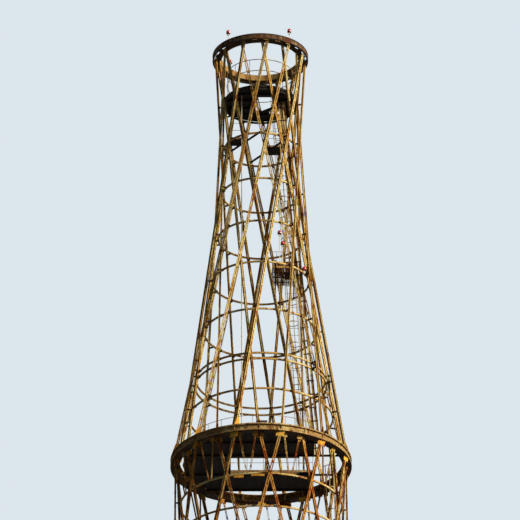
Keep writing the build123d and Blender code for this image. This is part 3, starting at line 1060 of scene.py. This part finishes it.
# %% Ladder helpers
CAGE_BACK = 20 * MM
CAGE_PITCH = 129 * MM
CAGE_GAP = 60 * MM
CAGE_STRAPS = 5
RUNG_PITCH = 43 * MM


def spin_arc(bm, centre, axis, start, sweep, width, thick, steps=12):
    """Flat strip bent round an axis, from a starting direction."""
    out = start.normalized()
    half = axis * width / 2
    corners = [
        centre + start - half, centre + start + half,
        centre + start + half - out * thick, centre + start - half - out * thick,
    ]
    spin_outline(bm, corners, sweep, steps, centre, axis)


def add_ladder(bm, one, two, pitch):
    foot, head = (one.foot + two.foot) / 2, (one.head + two.head) / 2
    axis = (head - foot).normalized()
    side = (two.foot - one.foot).normalized()
    out = side.cross(axis).normalized()
    for rail in (one, two):
        add_strip(bm, rail.foot + axis * 3 * MM, rail.head, 2 * MM, 7 * MM, out)
    length = (head - foot).length
    half = (two.foot - one.foot).length / 2
    for k in range(int(length / pitch)):
        spot = foot + axis * (k + 0.5) * pitch
        add_rod(bm, spot - side * half, spot + side * half, 1.3 * MM)
    return foot, axis, side, out, length, half


def add_cage(bm, ladder, facing, gaps=()):
    foot, axis, side, out, length, half = ladder
    back = out * facing * CAGE_BACK
    open_angle = math.atan2(half, CAGE_BACK)
    sweep = FULL_TURN - 2 * open_angle
    radius = math.hypot(half, CAGE_BACK)
    levels = []
    for k in range(1, int(length / CAGE_PITCH) + 1):
        spot = foot + axis * k * CAGE_PITCH
        if any(abs(spot.z - gap) < CAGE_GAP for gap in gaps):
            continue
        levels.append(k * CAGE_PITCH)
        start = -back + side * half
        turn = facing if out.cross(side).dot(axis) > 0 else -facing
        spin_arc(bm, spot + back, axis * turn, start, sweep, 4 * MM, 1 * MM)
    for k in range(CAGE_STRAPS):
        angle = open_angle + sweep * (k + 1) / (CAGE_STRAPS + 1)
        arm = -out * facing * math.cos(angle) + side * math.sin(angle)
        spoke = arm * (radius - 1.5 * MM)
        a = foot + back + spoke + axis * levels[0]
        b = foot + back + spoke + axis * levels[-1]
        add_strip(bm, a, b, 4 * MM, 1 * MM, arm)


print("rungs every", round(RUNG_PITCH / MM), "mm and cage hoops every", round(CAGE_PITCH / MM), "mm")

# %% Top tier's ladder
rails = [Bar(corners) for corners in solids_of("ladder_rails")]
rails.sort(key=lambda rail: rail.foot.x)
deck_levels = [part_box(node)[1][2] for node in ("rest_deck", "landing_deck")]
bm = bmesh.new()
ladder = add_ladder(bm, *rails, RUNG_PITCH)
facing = 1 if ladder[3].y < 0 else -1
add_cage(bm, ladder, facing, deck_levels)
finish_piece("top_ladder", bm, ladder_paint, ["ladder_rails", "ladder_rungs"])

# %% Lower tiers' ladders
rails = [Bar(corners) for corners in solids_of("tier_ladder_rails")]
rails.sort(key=lambda rail: (round(rail.foot.z, 2), rail.foot.y))
bm = bmesh.new()
for k in range(0, len(rails), 2):
    ladder = add_ladder(bm, rails[k], rails[k + 1], RUNG_PITCH)
    facing = 1 if ladder[3].x < 0 else -1
    add_cage(bm, ladder, facing)
finish_piece("tier_ladders", bm, ladder_paint, ["tier_ladder_rails"])

# %% [markdown]
# Cable tray and conduit
#
# The tray is a pair of pressed strips side by side with clamps across them. The conduit is
# a thin tube with saddle clips.

# %% Tray
tray = Bar(solids_of("cable_tray")[0])
bm = bmesh.new()
lie = tray.matrix()
turn = lie.to_3x3().to_4x4()
strip = (tray.width - 8 * MM) / 2
for side in (-1, 1):
    place = lie @ Vector((side * (strip / 2 + 4 * MM), 0, tray.length / 2))
    add_box(bm, (strip, 1.6 * MM, tray.length), place, turn)
    for lip in (-1, 1):
        edge = side * (strip / 2 + 4 * MM) + lip * (strip / 2 - 0.6 * MM)
        place = lie @ Vector((edge, 2 * MM, tray.length / 2))
        add_box(bm, (1.2 * MM, 4 * MM, tray.length), place, turn)
finish_piece("cable_tray_strips", bm, ladder_paint, ["cable_tray"])
bm = bmesh.new()
count = int(tray.length / (80 * MM))
for k in range(count):
    place = lie @ Vector((0, 0, (k + 0.5) * tray.length / count))
    add_box(bm, (tray.width + 4 * MM, 6 * MM, 6 * MM), place, turn)
finish_piece("cable_tray_clamps", bm, bitumen_and_painted_shade)

# %% Conduit
low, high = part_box("conduit")
x, y = (low[0] + high[0]) / 2, (low[1] + high[1]) / 2
radius = (high[0] - low[0]) / 2
bm = bmesh.new()
add_rod(bm, Vector((x, y, low[2])), Vector((x, y, high[2])), radius * 0.9, 12)
count = int((high[2] - low[2]) / (150 * MM))
for k in range(count):
    z = low[2] + (k + 0.5) * (high[2] - low[2]) / count
    add_rod(bm, Vector((x, y, z)), Vector((x, y, z + 5 * MM)), radius * 1.3, 12)
finish_piece("conduit_pipe", bm, enamel, ["conduit"])

# %% [markdown]
# Cabinets on the rest platform
#
# Three steel cabinets stand on the small platform half way up. Each is a box with bevelled
# edges, an inset door, a hood and feet.

# %% Cabinets
def add_cabinet(bm, place, size):
    part = bmesh.new()
    add_box(part, size, place + UP * (size[2] / 2 + 3 * MM))
    front = min(part.faces, key=lambda face: face.calc_center_median().y)
    bmesh.ops.inset_region(part, faces=[front], thickness=3 * MM, depth=-1.2 * MM)
    hard = [edge for edge in part.edges if edge.calc_face_angle(0) > 1]
    bmesh.ops.bevel(
        part, geom=hard, offset=0.7 * MM, affect="EDGES", segments=1, profile=0.5, material=-1,
    )
    hood = (size[0] + 5 * MM, size[1] + 5 * MM, 2 * MM)
    add_box(part, hood, place + UP * (size[2] + 4 * MM))
    for x in (-1, 1):
        for y in (-1, 1):
            spot = place + Vector((x * size[0] * 0.4, y * size[1] * 0.4, 1.5 * MM))
            add_box(part, (5 * MM, 5 * MM, 3 * MM), spot)
    add_part(bm, part)


CABINETS = ((34, 60, 40, 26, 46), (90, 130, 44, 30, 30), (88, 72, 26, 34, 60))
low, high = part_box("rest_deck")
bm = bmesh.new()
for x, y, *size in CABINETS:
    place = Vector((low[0] + x * MM, low[1] + y * MM, high[2]))
    add_cabinet(bm, place, [side * MM for side in size])
finish_piece("rest_cabinets", bm, cabinet_paint)

# %% [markdown]
# The rest platform's grating
#
# The small platform isn't plate but bar grating: deep flat bars on edge with thin cross
# bars, framed by angles. Light comes through it, so it is built as real bars.

# %% Grating
GRATING_PITCH = 11 * MM
CROSS_BARS = 5
low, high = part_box("rest_deck")
low, high = Vector(low), Vector(high)
centre, span = (low + high) / 2, high - low
bm = bmesh.new()
count = int((high.y - low.y) / GRATING_PITCH)
for k in range(count + 1):
    y = low.y + (high.y - low.y) * k / count
    add_box(bm, (span.x, 2.6 * MM, span.z), Vector((centre.x, y, centre.z)))
for k in range(CROSS_BARS):
    x = low.x + (high.x - low.x) * k / (CROSS_BARS - 1)
    add_box(bm, (4 * MM, span.y, 3 * MM), Vector((x, centre.y, centre.z - 1.5 * MM)))
finish_piece("rest_grating", bm, bitumen_and_painted_shade, ["rest_deck"])

# %% [markdown]
# Rails of the rest platform
#
# Three rails on close posts stand a little in from the platform's edge. The far side is open.

# %% Rails of the rest platform
def outline_of(points):
    """Upper corners of a plate, in order round its middle."""
    top = max(p.z for p in points)
    corners = [p for p in points if top - p.z < 0.0001]
    centre = middle(corners)
    return sorted(corners, key=lambda p: bearing(p - centre)), centre


corners, centre = outline_of(solids_of("rest_deck")[0])
bm = bmesh.new()
for one, two in zip(corners, corners[1:] + corners[:1]):
    one, two = one.lerp(centre, 0.03), two.lerp(centre, 0.03)
    if min(one.y, two.y) > centre.y + 60 * MM or (two - one).length < 20 * MM:
        continue
    add_straight_rail(bm, one, two, REST_RAILS, 26 * MM)
finish_piece("rest_platform_rails", bm, low_bar_paint)

# %% [markdown]
# Beams and boxes under the grating
#
# Three flat beams carry the grating. A box and a short pipe hang below it.

# %% Beams and boxes under the grating
low, high = extent(solids_of("rest_deck")[0])
bm = bmesh.new()
for share in (0.2, 0.5, 0.8):
    y = low[1] + (high[1] - low[1]) * share
    place = Vector(((low[0] + high[0]) / 2, y, low[2] - 2 * MM))
    add_box(bm, (high[0] - low[0] - 8 * MM, 6 * MM, 4 * MM), place)
place = Vector((low[0] + 50 * MM, low[1] + 45 * MM, low[2] - 12 * MM))
add_box(bm, (30 * MM, 24 * MM, 16 * MM), place)
x, y = low[0] + 30 * MM, low[1] + 28 * MM
add_rod(bm, Vector((x, y, low[2])), Vector((x, y, low[2] - 34 * MM)), 4 * MM, 8)
finish_piece("rest_beams_and_boxes", bm, cabinet_paint)

# %% [markdown]
# Rails of the small platforms
#
# The landing in the top tier has rails along its front, those at the rings on two sides.

# %% Rails of the small platforms
bm = bmesh.new()
for node in ("landing_deck", "ring_landing_plates"):
    for plate in solids_of(node):
        a, b = extent(plate)
        inset = 3 * MM
        near = Vector((a[0] + inset, a[1] + inset, b[2]))
        far = Vector((b[0] - inset, a[1] + inset, b[2]))
        add_straight_rail(bm, near, far, LANDING_RAILS, 60 * MM)
        if node == "ring_landing_plates":
            over = Vector((0, b[1] - a[1] - 2 * inset, 0))
            add_straight_rail(bm, near + over, far + over, LANDING_RAILS, 60 * MM)
finish_piece("platform_rails", bm, ladder_paint)

# %% [markdown]
# A stand on the big ring
#
# A low shelf on two legs stands on the front of the big ring.

# %% A stand on the big ring
STAND_BEARING = math.radians(-89.5)
STAND_HEIGHT = 13 * MM
size = ring_size("ring_5_flanges")
radius, top = size[0] - 14 * MM, size[3] + STAND_HEIGHT
bm = bmesh.new()
add_block(bm, (18 * MM, 60 * MM, 2.4 * MM), radius, STAND_BEARING, top)
for shift in (-0.038, 0.038):
    leg = (14 * MM, 4 * MM, STAND_HEIGHT)
    add_block(bm, leg, radius, STAND_BEARING + shift, top - STAND_HEIGHT / 2)
finish_piece("ring_stand", bm, cabinet_paint)

# %% [markdown]
# Warning lamps
#
# A lamp is a ribbed red glass on a dark base, over a cream fitting on a thin post. The glass
# is one outline spun about its own axis; the ribs are steps in that outline.

# %% Lamps
def add_turned(bm, centre, outline, steps=16):
    """Spins an open outline of (radius, height) about its own upright axis."""
    verts = [bm.verts.new(centre + Vector((radius, 0, z))) for radius, z in outline]
    edges = [bm.edges.new(pair) for pair in zip(verts, verts[1:])]
    bmesh.ops.spin(
        bm, geom=verts + edges, cent=centre, axis=(0, 0, 1), dvec=(0, 0, 0),
        angle=FULL_TURN, steps=steps, use_merge=True,
    )
    bmesh.ops.remove_doubles(bm, verts=bm.verts, dist=JOIN)


LAMP_SPREAD = 1.15
SIDE_LAMP_HOOP = 4
SIDE_LAMP_BEARING = math.radians(-26)
GLASS = (
    (0, 3.6), (8.6, 3.6), (9.7, 6), (9.2, 7.5), (9.9, 9), (9.4, 10.5), (9.9, 12), (9.3, 14),
    (9.1, 16), (8.2, 19), (6.4, 22), (3.4, 24.6), (0, 25.6),
)
BASE = ((0, 0.2), (6, 0.2), (9.4, 1.8), (9.4, 3.4), (8.2, 4.0), (0, 4.0))
glass, bases, fittings = bmesh.new(), bmesh.new(), bmesh.new()
hoop_z = levels_of(6)[SIDE_LAMP_HOOP]
hoop_middle = hoop_rims[6, hoop_z] - HOOP_WIDTH / 2
side_lamp = polar(hoop_middle, SIDE_LAMP_BEARING, hoop_z + HOOP_HALF)
add_box(fittings, (10 * MM, 10 * MM, 12 * MM), side_lamp + UP * 6 * MM)
feet = [side_lamp + UP * 12 * MM]
for corners in solids_of("lamps"):
    low, high = extent(corners)
    feet.append(Vector(((low[0] + high[0]) / 2, (low[1] + high[1]) / 2, low[2])))
for foot in feet:
    add_turned(glass, foot, [(r * LAMP_SPREAD * MM, z * MM) for r, z in GLASS])
    add_turned(bases, foot, [(r * LAMP_SPREAD * MM, z * MM) for r, z in BASE])
finish_piece("lamp_glasses", glass, lamp_glass, ["lamps"], True)
finish_piece("lamp_bases", bases, bitumen_and_painted_shade)
for corners in solids_of("lamp_posts"):
    low, high = extent(corners)
    x, y = (low[0] + high[0]) / 2, (low[1] + high[1]) / 2
    add_rod(fittings, Vector((x, y, low[2])), Vector((x, y, high[2])), 1.9 * MM, 8)
    add_box(fittings, (9 * MM, 9 * MM, 8 * MM), Vector((x, y, high[2] - 5 * MM)))
    add_box(fittings, (10 * MM, 10 * MM, 1.4 * MM), Vector((x, y, low[2] + 0.7 * MM)))
finish_piece("lamp_post_fittings", fittings, enamel, ["lamp_posts"])

# %% [markdown]
# Camera, light and stage
#
# The mast is seen from the ground a good way off, through a long lens that looks up at its
# two top tiers. The eye height is that of a person, at the model's scale.

# %% Camera
EYE = Vector((0, -26.72, 0.16))
LOOK_UP = math.radians(26.937)
YAW = 0.00014
ROLL = -0.00175
IMAGE_SIDE = 520
FOCAL = 5449  # in the units of the image's side
SENSOR = 36
camera_data = bpy.data.cameras.new("camera")
camera_data.sensor_width = SENSOR
camera_data.lens = SENSOR * FOCAL / IMAGE_SIDE
camera_data.clip_end = 500
camera = bpy.data.objects.new("camera", camera_data)
camera.location = EYE
aim = Matrix.Rotation(YAW, 3, "Z") @ Matrix.Rotation(math.pi / 2 + LOOK_UP, 3, "X")
camera.rotation_euler = (aim @ Matrix.Rotation(ROLL, 3, "Z")).to_euler()
bpy.context.scene.collection.objects.link(camera)
bpy.context.scene.camera = camera
print("lens of", round(camera_data.lens), "mm")

# %% Key light
KEY_TILT = math.radians(64)
KEY_BEARING = math.radians(62)
key_data = bpy.data.lights.new("key", "SUN")
key_data.energy = 5.0
key_data.angle = math.radians(14)
key_data.color = colour("#FFF2DC")[:3]
key = bpy.data.objects.new("key", key_data)
key.rotation_euler = (KEY_TILT, 0, KEY_BEARING)
bpy.context.scene.collection.objects.link(key)
print("key light:", key_data.energy)


# %% World
def seen_directly(tree):
    """1 for rays that show a surface to the camera, in a mirror or through glass."""
    path = add_node(tree, "ShaderNodeLightPath").outputs
    links = {0: path["Is Camera Ray"], 1: path["Is Glossy Ray"]}
    seen = add_node(tree, "ShaderNodeMath", links, operation="MAXIMUM")
    links = {0: seen.outputs[0], 1: path["Is Transmission Ray"]}
    return add_node(tree, "ShaderNodeMath", links, operation="MAXIMUM").outputs[0]


world = bpy.data.worlds.new("studio")
bpy.context.scene.world = world
world.use_nodes = True
tree = world.node_tree
values = {6: colour("#2F3D4C"), 7: colour("#DCE6EC")}
sky = add_node(tree, "ShaderNodeMix", {0: seen_directly(tree)}, values, data_type="RGBA")
background = tree.nodes["Background"]
tree.links.new(sky.outputs[2], background.inputs["Color"])
background.inputs["Strength"].default_value = 1.0
bpy.context.scene.view_settings.view_transform = "Standard"
print("world:", world.name)

# %% Floor
bm = bmesh.new()
bmesh.ops.create_grid(bm, x_segments=1, y_segments=1, size=120)
mesh = bpy.data.meshes.new("floor")
bm.to_mesh(mesh)
bm.free()
floor_paint, tree, shader, _ = new_material("pale_matt_floor")
values = {6: colour("#404244"), 7: colour("#D9DBDC")}
pale = add_node(tree, "ShaderNodeMix", {0: seen_directly(tree)}, values, data_type="RGBA")
tree.links.new(pale.outputs[2], shader.inputs["Base Color"])
shader.inputs["Roughness"].default_value = 0.9
mesh.materials.append(floor_paint)
floor = bpy.data.objects.new("floor", mesh)
floor.location.z = -0.5 * MM
bpy.context.scene.collection.objects.link(floor)
print("floor:", floor.name)
